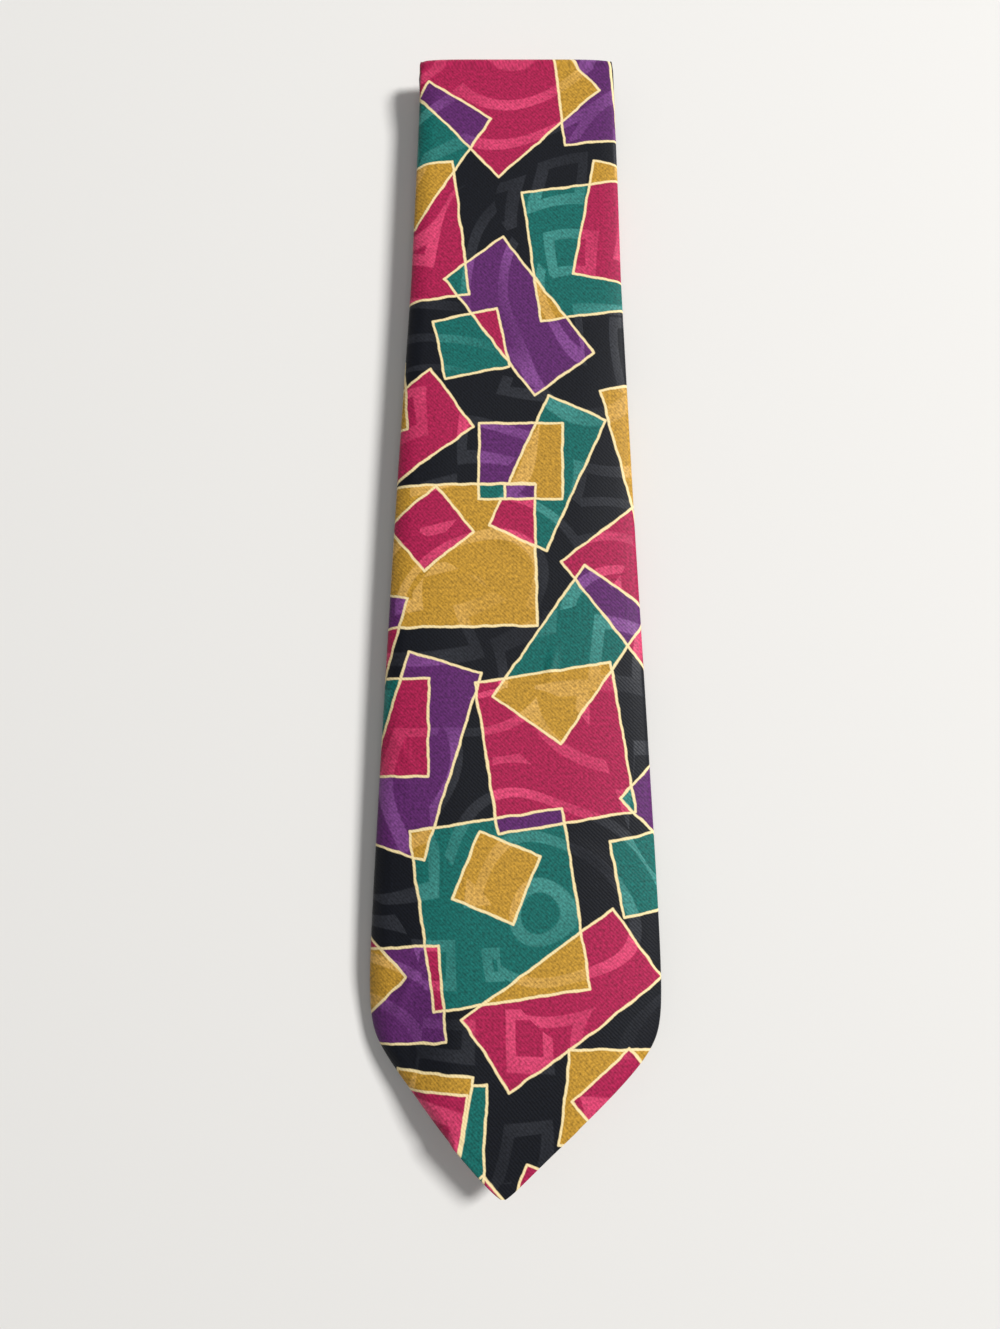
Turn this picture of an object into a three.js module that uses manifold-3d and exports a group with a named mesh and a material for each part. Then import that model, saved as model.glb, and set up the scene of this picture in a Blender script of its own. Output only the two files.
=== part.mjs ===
// A man's necktie, folded in four as it is stored: front leaf on top, then second, neck and tail leaf.
// The tie is one long tube of cloth with an interlining inside. Its length is measured as "run", in
// millimetres from the front tip, so every piece is placed by where it sits along the run.
// Millimetres, +Z up. The origin is under the middle of the folded tie, on the surface it lies on.
// The front tip points to -Y, and the printed side of the front leaf faces +Z.

import * as THREE from "three";
import Module from "manifold-3d";
import { mergeVertices } from "three/addons/utils/BufferGeometryUtils.js";

const wasm = await Module();
wasm.setup();

// ---------------------------------------------------------------- driving dimensions

// Outline of the tie
const FOLDED_LENGTH = 380; // front tip to the outside of the top fold
const BLADE_WIDTH = 95; // widest place, where the front tip's corners are
const WAIST = { run: 300, width: 71.5 }; // where the blade's taper eases off
const FOLD_WIDTH = 68; // at the end of the front leaf, where the tie folds back
const NECK_WIDTH = 38;
const TAIL_WIDTH = 42; // at the tail tip's corners
const NECK_START = 690; // run where the taper has reached the neck
const BLADE_CORNER_EASE = 18; // how far a tip's corners are eased either side
const TAIL_CORNER_EASE = 6;

// Where the lower folds and the tail tip stop short, so that the front leaf covers them
const NECK_FOLD_INSET = 24; // back from the front tip
const TAIL_FOLD_INSET = 4; // back from the outside of the top fold
const TAIL_TIP_CLEAR = 4; // between the tail tip and the front tip, once the front swings under the neck leaf

// Layers of one leaf, from the printed face inwards
const CLOTH = 0.3; // silk shell
const INTERLINING = 0.7; // wool canvas
const LINING = 0.15; // tipping behind the two ends
const AIR = 0.15; // between two layers
const SEAM_ROOM = 0.5; // between the two flaps where they lap
const THREAD = 0.25; // diameter of the sewing thread

// Space between neighbouring leaves
const NECK_FOLD_GAP = 0.4; // second and neck leaf
const KEEPER_CLEAR = 0.15; // from what stands highest on the back of the front leaf to the second leaf

// Sewing
const LAP = 10; // overlap of the flaps at the back seam
const BREAK = 0.3; // gap between two lengths of the same cloth
const SEAM_THREAD = BREAK / 3; // width of the thread in a bias seam, with the same air either side
const HEM = 8; // shell turned in along the edges of a tip
const FLAP_CORNER = 9; // cloth left beside the opening at a tip's corners
const BLADE_TACK = 118; // front tip to the bar tack that closes the back seam
const TAIL_TACK = 62; // tail tip to its bar tack
const TIPPING_PAST_TACK = 26; // how far the tipping runs on behind the seam
const INTERLINING_INSET = 1.5; // from the side edges of the tie
const TIPPING_INSET = 2.2; // from the side edges of the tie
const TIPPING_TUCK = 2; // from the edges of a tip, so that the hem covers the tipping's edge
const TACK = { long: 9, wide: 1.2, thick: 0.3 };
const BLADE_SEAM = 60; // neck fold to the seam of blade and neck piece
const TAIL_SEAM = 66; // tail fold to the seam of neck piece and tail

// Label, keeper and care label, by run from their own tip
const LABEL = { run: 166, across: 62, along: 25, thick: 0.2 };
const KEEPER = { run: 224, across: 56, along: 13, thick: 0.35, stand: 0.3, foot: 7, ramp: 3 };
const CARE = { run: 96, across: 20, along: 14, thick: 0.15 };
const STITCH = { wide: 0.8, thick: 0.2, fromEnd: 1 }; // rows that hold the label, keeper and care label

const PAST = 1; // how far a cutting shape runs past what it cuts
const ARC_SEGMENTS = 3; // facets in each quarter turn of the rolled side edges
const BEND_STEPS = 8; // facets round each fold

// ---------------------------------------------------------------- layers as depths from the printed face

const INTERLINING_TOP = CLOTH + AIR;
const LINING_TOP = INTERLINING_TOP + INTERLINING + AIR;
const UNDER_FLAP_TOP = LINING_TOP + LINING + AIR;
const UNDER_FLAP = UNDER_FLAP_TOP + CLOTH;
const OVER_FLAP_TOP = UNDER_FLAP + SEAM_ROOM;
const LEAF = OVER_FLAP_TOP + CLOTH; // thickness of one leaf
const THREAD_DEPTH = UNDER_FLAP + SEAM_ROOM / 2;
const BACK = LEAF + AIR; // inner face of what is sewn on the back

// The keeper, or the stitches through its feet, stands highest on the back of the front leaf. The tail fold
// is as roomy, so that the front leaf comes down level with the tail leaf when the neck fold is opened.
const keeperHeight = AIR + KEEPER.thick + Math.max(KEEPER.stand, AIR + STITCH.thick);
const BLADE_FOLD_GAP = keeperHeight + KEEPER_CLEAR;
const TAIL_FOLD_GAP = BLADE_FOLD_GAP;

// ---------------------------------------------------------------- the run: leaves joined by folds

const TIP_Y = -FOLDED_LENGTH / 2;
const tailFace = 0;
const neckBack = LEAF + TAIL_FOLD_GAP;
const neckFace = neckBack + LEAF;
const secondFace = neckFace + NECK_FOLD_GAP;
const secondBack = secondFace + LEAF;
const frontBack = secondBack + BLADE_FOLD_GAP;
const frontFace = frontBack + LEAF;

// A fold turns about a centre; rounder is its outer radius.
function fold(gap, lowFace, edgeY, way) {
  const outer = LEAF + gap / 2;
  const length = Math.PI * (gap / 2 + LEAF / 2);
  return { gap, outer, way, y: edgeY - way * outer, z: lowFace + outer, length };
}
const bladeFold = fold(BLADE_FOLD_GAP, secondFace, FOLDED_LENGTH / 2, 1);
const neckFold = fold(NECK_FOLD_GAP, neckBack, TIP_Y + NECK_FOLD_INSET, -1);
const tailFold = fold(TAIL_FOLD_GAP, tailFace, FOLDED_LENGTH / 2 - TAIL_FOLD_INSET, 1);

// Opened right out, the neck fold carries the front tip as far under the neck leaf as it now stands past
// the fold.
const neckHingeY = neckFold.y - neckFold.length / 2;
const TAIL_TIP_Y = 2 * neckHingeY - TIP_Y + TAIL_TIP_CLEAR;

// Stretches of the run. y0 is where a leaf starts, way its direction along Y, face the height of its
// printed side.
const frontLeaf = { y0: TIP_Y, way: 1, face: frontFace, length: bladeFold.y - TIP_Y };
const secondLeaf = { y0: bladeFold.y, way: -1, face: secondFace, length: bladeFold.y - neckFold.y };
const neckLeaf = { y0: neckFold.y, way: 1, face: neckFace, length: tailFold.y - neckFold.y };
const tailLeaf = { y0: tailFold.y, way: -1, face: tailFace, length: tailFold.y - TAIL_TIP_Y };

let total = 0;
const stretches = [frontLeaf, bladeFold, secondLeaf, neckFold, neckLeaf, tailFold, tailLeaf];
for (const stretch of stretches) {
  stretch.from = total;
  total += stretch.length;
  stretch.to = total;
}
const RUN = total;

// The point of the printed face at a run, and the direction out of that face.
function route(run) {
  const at = stretches.find((s) => run <= s.to) ?? tailLeaf;
  if (!at.outer) {
    return { y: at.y0 + at.way * (run - at.from), z: at.face, ny: 0, nz: at.way };
  }
  const turn = (Math.PI * (run - at.from)) / at.length;
  const out = { y: at.way * Math.sin(turn), z: Math.cos(turn) };
  const printedOutside = at.way > 0;
  const radius = printedOutside ? at.outer : at.gap / 2;
  const side = printedOutside ? 1 : -1;
  return { y: at.y + radius * out.y, z: at.z + radius * out.z, ny: side * out.y, nz: side * out.z };
}

// Half the width of the tie at a run, with the tips left square; the tips are cut afterwards.
const taper = [
  [BLADE_WIDTH / 2, BLADE_WIDTH],
  [WAIST.run, WAIST.width],
  [frontLeaf.to, FOLD_WIDTH],
  [NECK_START, NECK_WIDTH],
  [neckLeaf.to, NECK_WIDTH],
  [RUN - TAIL_WIDTH / 2, TAIL_WIDTH],
];
function halfWidth(run) {
  const next = taper.findIndex(([at]) => run < at);
  if (next === 0) return taper[0][1] / 2;
  if (next < 0) return TAIL_WIDTH / 2;
  const [from, wide] = taper[next - 1];
  const [to, narrow] = taper[next];
  return THREE.MathUtils.mapLinear(run, from, to, wide, narrow) / 2;
}

// ---------------------------------------------------------------- solids

function solid(geometry) {
  const bare = geometry.index ? geometry.toNonIndexed() : geometry.clone();
  for (const name of ["normal", "uv"]) bare.deleteAttribute(name);
  const merged = mergeVertices(bare, 1e-4);
  const mesh = new wasm.Mesh({
    numProp: 3,
    vertProperties: merged.attributes.position.array,
    triVerts: new Uint32Array(merged.index.array),
  });
  return new wasm.Manifold(mesh);
}

function geometryOf(made) {
  const mesh = made.getMesh();
  const geometry = new THREE.BufferGeometry();
  geometry.setAttribute("position", new THREE.BufferAttribute(mesh.vertProperties, 3));
  geometry.setIndex(new THREE.BufferAttribute(mesh.triVerts, 1));
  return geometry;
}

// ---------------------------------------------------------------- cross-sections, x across and y in depth

const HALF = 30; // half width that the sections are drawn at; sweep() moves their sides out or in

// The shell: printed face, both rolled side edges, under flap from -X and over flap from +X.
function shellSection() {
  const over = LEAF / 2;
  const under = UNDER_FLAP / 2;
  const shape = new THREE.Shape();
  shape.moveTo(-HALF + under, 0);
  shape.lineTo(HALF - over, 0);
  shape.absarc(HALF - over, over, over, -Math.PI / 2, Math.PI / 2);
  shape.lineTo(-LAP / 2, LEAF);
  shape.lineTo(-LAP / 2, OVER_FLAP_TOP);
  shape.lineTo(HALF - over, OVER_FLAP_TOP);
  shape.absarc(HALF - over, over, over - CLOTH, Math.PI / 2, -Math.PI / 2, true);
  shape.lineTo(-HALF + under, CLOTH);
  shape.absarc(-HALF + under, under, under - CLOTH, -Math.PI / 2, Math.PI / 2, true);
  shape.lineTo(LAP / 2, UNDER_FLAP_TOP);
  shape.lineTo(LAP / 2, UNDER_FLAP);
  shape.lineTo(-HALF + under, UNDER_FLAP);
  shape.absarc(-HALF + under, under, under, Math.PI / 2, (3 * Math.PI) / 2);
  return shape;
}

// A flat layer inside the shell, clear of its rolled edges.
function layerSection(top, thickness, inset) {
  const half = HALF - inset;
  const shape = new THREE.Shape();
  shape.moveTo(-half, top);
  shape.lineTo(half, top);
  shape.lineTo(half, top + thickness);
  shape.lineTo(-half, top + thickness);
  return shape;
}

function threadSection() {
  return new THREE.Shape().absarc(0, THREAD_DEPTH, THREAD / 2, 0, 2 * Math.PI);
}

// How far across the opened-out cloth a point of the section is, measured from the middle of the face.
function across(x, depth, half) {
  const side = Math.sign(x);
  const thick = side > 0 ? LEAF : UNDER_FLAP;
  const reach = half - thick / 2;
  const past = Math.abs(x) - reach;
  if (past <= 1e-6) return depth < thick / 2 ? x : side * (2 * half - Math.abs(x));
  const turned = Math.atan2(past, thick / 2 - depth) / Math.PI;
  return side * (reach + turned * thick);
}

// A section carried along the run, with a station at each change of the taper, or evenly round a fold.
// slant leans an end on the bias, in millimetres of run per millimetre across.
function sweep(section, from, to, { bends = 0, slantFrom = 0, slantTo = 0 } = {}) {
  const turns = taper.map(([at]) => at).filter((at) => at > from && at < to);
  const even = Array.from({ length: bends + 1 }, (_, i) => THREE.MathUtils.lerp(from, to, i / bends));
  const stations = bends > 0 ? even : [from, ...turns, to];
  const steps = stations.length - 1;
  const options = { depth: steps, steps, curveSegments: ARC_SEGMENTS, bevelEnabled: false };
  const geometry = new THREE.ExtrudeGeometry(section, options);
  const place = geometry.attributes.position;
  for (let i = 0; i < place.count; i++) {
    const [drawnX, depth, station] = [place.getX(i), place.getY(i), Math.round(place.getZ(i))];
    const level = stations[station];
    const share = station / steps;
    const side = Math.abs(drawnX) > LAP ? Math.sign(drawnX) : 0;
    const levelHalf = halfWidth(level);
    const bias = across(drawnX + side * (levelHalf - HALF), depth, levelHalf);
    const run = level + bias * THREE.MathUtils.lerp(slantFrom, slantTo, share);
    const x = drawnX + side * (halfWidth(run) - HALF);
    const on = route(run);
    place.setXYZ(i, x, on.y - on.ny * depth, on.z - on.nz * depth);
  }
  return solid(geometry);
}

// ---------------------------------------------------------------- tips

function tipOf(leaf, y, width, ease, tack) {
  return { leaf, y, half: width / 2, ease, tack };
}
const bladeTip = tipOf(frontLeaf, TIP_Y, BLADE_WIDTH, BLADE_CORNER_EASE, BLADE_TACK);
const tailTip = tipOf(tailLeaf, TAIL_TIP_Y, TAIL_WIDTH, TAIL_CORNER_EASE, TAIL_TACK);

// A right-angled tip pointing to -Y, reaching up both sides, between two depths of its leaf.
function tipPrism(tip, top, bottom, inset = 0) {
  const [point, corner] = [tip.y + inset * Math.SQRT2, tip.y + tip.half + inset * (Math.SQRT2 - 1)];
  const wide = tip.half - inset;
  const far = corner + tip.leaf.length;
  const shape = new THREE.Shape();
  shape.moveTo(0, point);
  shape.lineTo(wide - tip.ease, corner - tip.ease);
  shape.quadraticCurveTo(wide, corner, wide, corner + tip.ease);
  shape.lineTo(wide, far);
  shape.lineTo(-wide, far);
  shape.lineTo(-wide, corner + tip.ease);
  shape.quadraticCurveTo(-wide, corner, -wide + tip.ease, corner - tip.ease);
  return prism(shape, tip.leaf, top, bottom);
}

// A flat shape in the plane of a leaf, from one depth to another.
function prism(shape, leaf, top, bottom) {
  const options = { depth: bottom - top, curveSegments: 2 * ARC_SEGMENTS, bevelEnabled: false };
  const geometry = new THREE.ExtrudeGeometry(shape, options);
  geometry.translate(0, 0, leaf.way > 0 ? leaf.face - bottom : leaf.face + top);
  return solid(geometry);
}

// The shell's end: a square sweep cut to the point, opened at the back, and hemmed along both edges.
function tipShell(swept, tip) {
  const inner = tip.half - FLAP_CORNER;
  const corner = tip.y + tip.half + FLAP_CORNER / 2;
  const opening = new THREE.Shape();
  opening.moveTo(0, tip.y + tip.tack);
  opening.lineTo(-inner, corner);
  opening.lineTo(-inner, tip.y - PAST);
  opening.lineTo(inner, tip.y - PAST);
  opening.lineTo(inner, corner);
  const pointed = swept.intersect(tipPrism(tip, -PAST, LEAF + PAST));
  const opened = pointed.subtract(prism(opening, tip.leaf, LINING_TOP + LINING, LEAF + PAST));
  const wall = tipPrism(tip, 0, UNDER_FLAP).subtract(tipPrism(tip, -PAST, LEAF, CLOTH));
  const hemDepth = tipPrism(tip, UNDER_FLAP_TOP, UNDER_FLAP);
  const hem = hemDepth.subtract(tipPrism(tip, UNDER_FLAP_TOP - PAST, LEAF, HEM));
  const eased = new THREE.Shape();
  const wide = tip.half - UNDER_FLAP / 2;
  const end = tip.y + tip.half + tip.ease;
  eased.moveTo(-wide, tip.y - PAST);
  eased.lineTo(wide, tip.y - PAST);
  eased.lineTo(wide, end);
  eased.lineTo(-wide, end);
  return opened.add(wall.add(hem).intersect(prism(eased, tip.leaf, -PAST, LEAF + PAST)));
}

function tipLayer(swept, tip, inset) {
  return swept.intersect(tipPrism(tip, -PAST, LEAF + PAST, inset));
}

// ---------------------------------------------------------------- colours of the pieces

const silk = { color: 0x15171d, roughness: 0.5 };
const wool = { color: 0xd9d3c3, roughness: 0.95 };
const satin = { color: 0x17181c, roughness: 0.4 };
const thread = { color: 0x1d1e24, roughness: 0.7 };
const woven = { color: 0x22242b, roughness: 0.6 };
const taffeta = { color: 0xe9e6dc, roughness: 0.7 };

const tie = new THREE.Group();

function piece(name, made, finish) {
  const mesh = new THREE.Mesh(geometryOf(made), new THREE.MeshStandardMaterial({ ...finish, metalness: 0 }));
  mesh.name = name;
  tie.add(mesh);
}

// ---------------------------------------------------------------- shell

const shell = shellSection();
const interliningSection = layerSection(INTERLINING_TOP, INTERLINING, INTERLINING_INSET);
const liningSection = layerSection(LINING_TOP, LINING, TIPPING_INSET);
const gap = BREAK / 2;

piece("front_blade_shell", tipShell(sweep(shell, 0, frontLeaf.to - gap), bladeTip), silk);
piece("second_leaf_shell", sweep(shell, secondLeaf.from + gap, secondLeaf.to - gap), silk);

// The neck leaf holds three cloths: the blade's end, the neck piece and the tail's start, joined on the bias.
const bladeSeam = neckLeaf.from + BLADE_SEAM;
const tailSeam = neckLeaf.to - TAIL_SEAM;
piece("blade_shell_neck_end", sweep(shell, neckLeaf.from + gap, bladeSeam - gap, { slantTo: 1 }), silk);
piece("neck_piece_shell", sweep(shell, bladeSeam + gap, tailSeam - gap, { slantFrom: 1, slantTo: 1 }), silk);
piece("tail_shell_neck_end", sweep(shell, tailSeam + gap, neckLeaf.to - gap, { slantFrom: 1 }), silk);
piece("tail_shell", tipShell(sweep(shell, tailLeaf.from + gap, RUN), tailTip), silk);

// ---------------------------------------------------------------- folds

// Shell, interlining and thread each bend round every fold.

const folds = { blade_fold: bladeFold, neck_fold: neckFold, tail_fold: tailFold };
for (const [name, at] of Object.entries(folds)) {
  const [from, to] = [at.from + gap, at.to - gap];
  piece(`${name}_shell`, sweep(shell, from, to, { bends: BEND_STEPS }), silk);
  piece(`${name}_interlining`, sweep(interliningSection, from, to, { bends: BEND_STEPS }), wool);
  piece(`${name}_slip_stitch`, sweep(threadSection(), from, to, { bends: BEND_STEPS }), thread);
}

// ---------------------------------------------------------------- interlining and tipping

const bladeInterlining = sweep(interliningSection, 0, frontLeaf.to - gap);
piece("front_interlining", tipLayer(bladeInterlining, bladeTip, CLOTH + AIR), wool);
piece("second_interlining", sweep(interliningSection, secondLeaf.from + gap, secondLeaf.to - gap), wool);
piece("neck_interlining", sweep(interliningSection, neckLeaf.from + gap, neckLeaf.to - gap), wool);
const tailInterlining = sweep(interliningSection, tailLeaf.from + gap, RUN);
piece("tail_interlining", tipLayer(tailInterlining, tailTip, CLOTH + AIR), wool);

const bladeTipping = sweep(liningSection, 0, BLADE_TACK + TIPPING_PAST_TACK);
piece("front_tipping", tipLayer(bladeTipping, bladeTip, TIPPING_TUCK), satin);
const tailTipping = sweep(liningSection, RUN - TAIL_TACK - TIPPING_PAST_TACK, RUN);
piece("tail_tipping", tipLayer(tailTipping, tailTip, TIPPING_TUCK), satin);

// ---------------------------------------------------------------- sewing

// The slip stitch runs between the flaps from one bar tack to the other.
const pastTack = TACK.wide + AIR;
piece("front_slip_stitch", sweep(threadSection(), BLADE_TACK + pastTack, frontLeaf.to - gap), thread);
piece("second_slip_stitch", sweep(threadSection(), secondLeaf.from + gap, secondLeaf.to - gap), thread);
piece("neck_slip_stitch", sweep(threadSection(), neckLeaf.from + gap, neckLeaf.to - gap), thread);
piece("tail_slip_stitch", sweep(threadSection(), tailLeaf.from + gap, RUN - TAIL_TACK - pastTack), thread);

// A flat rectangle on the back of a leaf, by its middle's run.
function patch(run, middleX, wide, long, top, thick) {
  const shape = new THREE.Shape();
  shape.moveTo(-wide / 2, top);
  shape.lineTo(wide / 2, top);
  shape.lineTo(wide / 2, top + thick);
  shape.lineTo(-wide / 2, top + thick);
  return onBack(shape, run, middleX, long);
}

// A section drawn across the tie and pulled a little way along it, on the back of a flat leaf.
function onBack(section, run, middleX, long) {
  const geometry = new THREE.ExtrudeGeometry(section, { depth: 1, bevelEnabled: false });
  const place = geometry.attributes.position;
  for (let i = 0; i < place.count; i++) {
    const on = route(run + (place.getZ(i) - 0.5) * long);
    place.setXYZ(i, place.getX(i) + middleX, on.y, on.z - on.nz * place.getY(i));
  }
  return solid(geometry);
}

piece("front_bar_tack", patch(BLADE_TACK + TACK.wide, 0, TACK.long, TACK.wide, BACK, TACK.thick), thread);
piece("tail_bar_tack", patch(RUN - TAIL_TACK - TACK.wide, 0, TACK.long, TACK.wide, BACK, TACK.thick), thread);

// A seam thread follows the bias join right round the shell, between the two cloths' ends.
for (const [name, run] of [["blade_seam_thread", bladeSeam], ["tail_seam_thread", tailSeam]]) {
  const [from, to] = [run - SEAM_THREAD / 2, run + SEAM_THREAD / 2];
  piece(name, sweep(shell, from, to, { slantFrom: 1, slantTo: 1 }), thread);
}

// ---------------------------------------------------------------- label, keeper and care label

piece("label", patch(LABEL.run, 0, LABEL.across, LABEL.along, BACK, LABEL.thick), woven);
for (const [name, side] of [["left", -1], ["right", 1]]) {
  const x = side * (LABEL.across / 2 - 2 * STITCH.wide);
  const long = LABEL.along - 2 * STITCH.fromEnd;
  const row = patch(LABEL.run, x, STITCH.wide, long, BACK + LABEL.thick + AIR, STITCH.thick);
  piece(`label_stitches_${name}`, row, thread);
}

// The keeper is a band of shell cloth: both feet sewn down, the middle standing clear for the tail.
function keeperSection() {
  const [half, foot, ramp, low] = [KEEPER.across / 2, KEEPER.foot, KEEPER.ramp, BACK];
  const high = BACK + KEEPER.stand;
  const inner = [
    [-half, low],
    [-half + foot, low],
    [-half + foot + ramp, high],
    [half - foot - ramp, high],
    [half - foot, low],
    [half, low],
  ];
  const outer = inner.toReversed().map(([x, depth]) => [x, depth + KEEPER.thick]);
  return new THREE.Shape([...inner, ...outer].map(([x, depth]) => new THREE.Vector2(x, depth)));
}
piece("keeper_loop", onBack(keeperSection(), KEEPER.run, 0, KEEPER.along), silk);
for (const [name, side] of [["left", -1], ["right", 1]]) {
  const x = side * (KEEPER.across / 2 - KEEPER.foot / 2);
  const long = KEEPER.along - 2 * STITCH.fromEnd;
  const row = patch(KEEPER.run, x, STITCH.wide, long, BACK + KEEPER.thick + AIR, STITCH.thick);
  piece(`keeper_stitches_${name}`, row, thread);
}

const careRun = RUN - CARE.run;
piece("care_label", patch(careRun, 0, CARE.across, CARE.along, BACK, CARE.thick), taffeta);
const careEdge = careRun - CARE.along / 2 + 2 * STITCH.wide;
const careRow = CARE.across - 2 * STITCH.fromEnd;
const careStitches = patch(careEdge, 0, careRow, STITCH.wide, BACK + CARE.thick + AIR / 2, STITCH.thick / 2);
piece("care_label_stitches", careStitches, thread);

export default tie;
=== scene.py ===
"""A man's silk necktie, folded in four: front leaf on top, then second, neck and tail leaf.

The tie is one long tube of cloth. A place on it is given by its run, the distance from the front tip along
the tie, by how far across it is, and by its depth from the printed face inwards, all in millimetres.
"""

import math
from types import SimpleNamespace

import bmesh
import bpy
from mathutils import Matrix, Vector, noise


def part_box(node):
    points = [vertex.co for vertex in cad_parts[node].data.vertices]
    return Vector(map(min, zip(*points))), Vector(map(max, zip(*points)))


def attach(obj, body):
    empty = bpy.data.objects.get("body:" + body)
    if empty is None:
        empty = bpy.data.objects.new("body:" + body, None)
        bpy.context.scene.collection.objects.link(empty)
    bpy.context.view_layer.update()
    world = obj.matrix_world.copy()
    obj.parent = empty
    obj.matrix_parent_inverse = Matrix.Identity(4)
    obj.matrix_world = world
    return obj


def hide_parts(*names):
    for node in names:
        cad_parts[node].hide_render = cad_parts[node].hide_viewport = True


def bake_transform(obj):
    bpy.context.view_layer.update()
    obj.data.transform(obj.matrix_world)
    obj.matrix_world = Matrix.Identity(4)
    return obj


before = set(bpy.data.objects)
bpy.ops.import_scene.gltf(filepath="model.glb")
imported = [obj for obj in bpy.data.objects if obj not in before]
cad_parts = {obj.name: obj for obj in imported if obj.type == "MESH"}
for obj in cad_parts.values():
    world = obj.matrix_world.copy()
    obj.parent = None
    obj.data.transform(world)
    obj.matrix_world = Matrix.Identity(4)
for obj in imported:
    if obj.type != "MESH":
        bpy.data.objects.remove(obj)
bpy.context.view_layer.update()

MM = 0.001


# -------- the four leaves and their three folds
# The tie lies in four leaves. Front and neck leaf have their printed side up, second and tail leaf down.
# A leaf runs up or down the tie from y0, and the folds between them are soft half turns.

BREAK = 0.3  # slit between a leaf and its fold, shared by both


def box_mm(node):
    """Lowest and highest corner of a solid of the frame, in millimetres."""
    low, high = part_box(node)
    return low / MM, high / MM


front_low, front_high = box_mm("front_blade_shell")
second_low, second_high = box_mm("second_leaf_shell")
neck_low, neck_high = box_mm("blade_shell_neck_end")[0], box_mm("tail_shell_neck_end")[1]
tail_low, tail_high = box_mm("tail_shell")

TIP_Y = front_low.y
BLADE_FOLD_Y = front_high.y + BREAK / 2
NECK_FOLD_Y = second_low.y - BREAK / 2
TAIL_FOLD_Y = neck_high.y + BREAK / 2
LEAF = front_high.z - front_low.z  # thickness of one leaf


def fold_between(name, run, y, way, upper, lower):
    """The half turn from the low side of the leaf above, upper, to the high side of the one below, lower."""
    gap = upper - lower
    middle = (upper + lower) / 2
    length = math.pi * (gap + LEAF) / 2
    end = run + length
    return SimpleNamespace(name=name, start=run, end=end, y=y, way=way, z=middle, gap=gap, hinge=length / 2)


def leaf_along(name, run, y0, y1, face, up):
    """A flat leaf whose printed side is at height face and looks up (1) or down (-1)."""
    way = math.copysign(1, y1 - y0)
    end, body = run + abs(y1 - y0), name + "_leaf"
    return SimpleNamespace(name=name, body=body, start=run, end=end, y0=y0, way=way, face=face, up=up)


front = leaf_along("front", 0, TIP_Y, BLADE_FOLD_Y, front_high.z, 1)
blade_fold = fold_between("blade_fold", front.end, BLADE_FOLD_Y, 1, front_low.z, second_high.z)
second = leaf_along("second", blade_fold.end, BLADE_FOLD_Y, NECK_FOLD_Y, second_low.z, -1)
neck_fold = fold_between("neck_fold", second.end, NECK_FOLD_Y, -1, second_low.z, neck_high.z)
neck = leaf_along("neck", neck_fold.end, NECK_FOLD_Y, TAIL_FOLD_Y, neck_high.z, 1)
tail_fold = fold_between("tail_fold", neck.end, TAIL_FOLD_Y, 1, neck_low.z, tail_high.z)
tail = leaf_along("tail", tail_fold.end, TAIL_FOLD_Y, tail_low.y, tail_low.z, -1)
RUN = tail.end

BLADE_TIP, TAIL_TIP = 47.5, 21  # length of each right-angled tip
TAPER = [  # run, and the width of the tie there, between its tips
    (BLADE_TIP, 96.8),
    (300, 72),  # the blade narrows more slowly from here
    (front.end, 67.6),
    (690, 38),
    (neck.end, 38),
    (RUN - TAIL_TIP, 42),
]
TIP_ROUND = 2.0  # how far back from its apex a tip is rounded
BLADE_CORNER, TAIL_CORNER = 4.5, 1.5  # softness of the corners where a tip meets the long edges
APEX = 0.3  # half of the width left at the very apex


def soft_least(a, b, soft):
    """The lower of two values, with the change-over rounded off."""
    return (a + b) / 2 - math.sqrt(((a - b) / 2) ** 2 + soft**2)


def smooth(value):
    """0 below 0, 1 above 1, and a soft step between."""
    t = min(max(value, 0), 1)
    return t * t * (3 - 2 * t)


def half_width(run):
    """Half the width of the tie at a run, tips included."""
    wide = TAPER[0][1]
    for (from_run, from_wide), (to_run, to_wide) in zip(TAPER, TAPER[1:]):
        if run > from_run:
            share = min((run - from_run) / (to_run - from_run), 1)
            wide = from_wide + share * (to_wide - from_wide)
    from_tip, soft = (run, BLADE_CORNER) if run < RUN / 2 else (RUN - run, TAIL_CORNER)
    from_tip = max(from_tip, 0)
    point = math.sqrt(from_tip * (from_tip + 2 * TIP_ROUND))
    # The rounding takes a little off everywhere, and the last term gives it back away from the corner
    return max(soft_least(point, wide / 2, soft) + soft**2 / max(point + wide / 2, 1), APEX)


FOLD_SWAY, FOLD_SWAY_FROM, FOLD_SWAY_LONG = 1.1, 200, 170  # lean to the right, from this run on
POINT_SWAY, POINT_SWAY_LONG = 3.8, 46  # lean of the point to the left, and its length


def sway(run):
    """How far the front leaf's middle lies off the straight line: its point leans to the left."""
    lean = FOLD_SWAY * smooth((run - FOLD_SWAY_FROM) / FOLD_SWAY_LONG)
    return lean - POINT_SWAY * smooth((POINT_SWAY_LONG - run) / POINT_SWAY_LONG)


# -------- how the front leaf lies
# Nothing carries the front leaf's long edges beyond the narrower leaf below, so they hang down a little, most
# on the left of the point. The cloth isn't quite flat either, and has a few shallow creases from its wearer.

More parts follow.
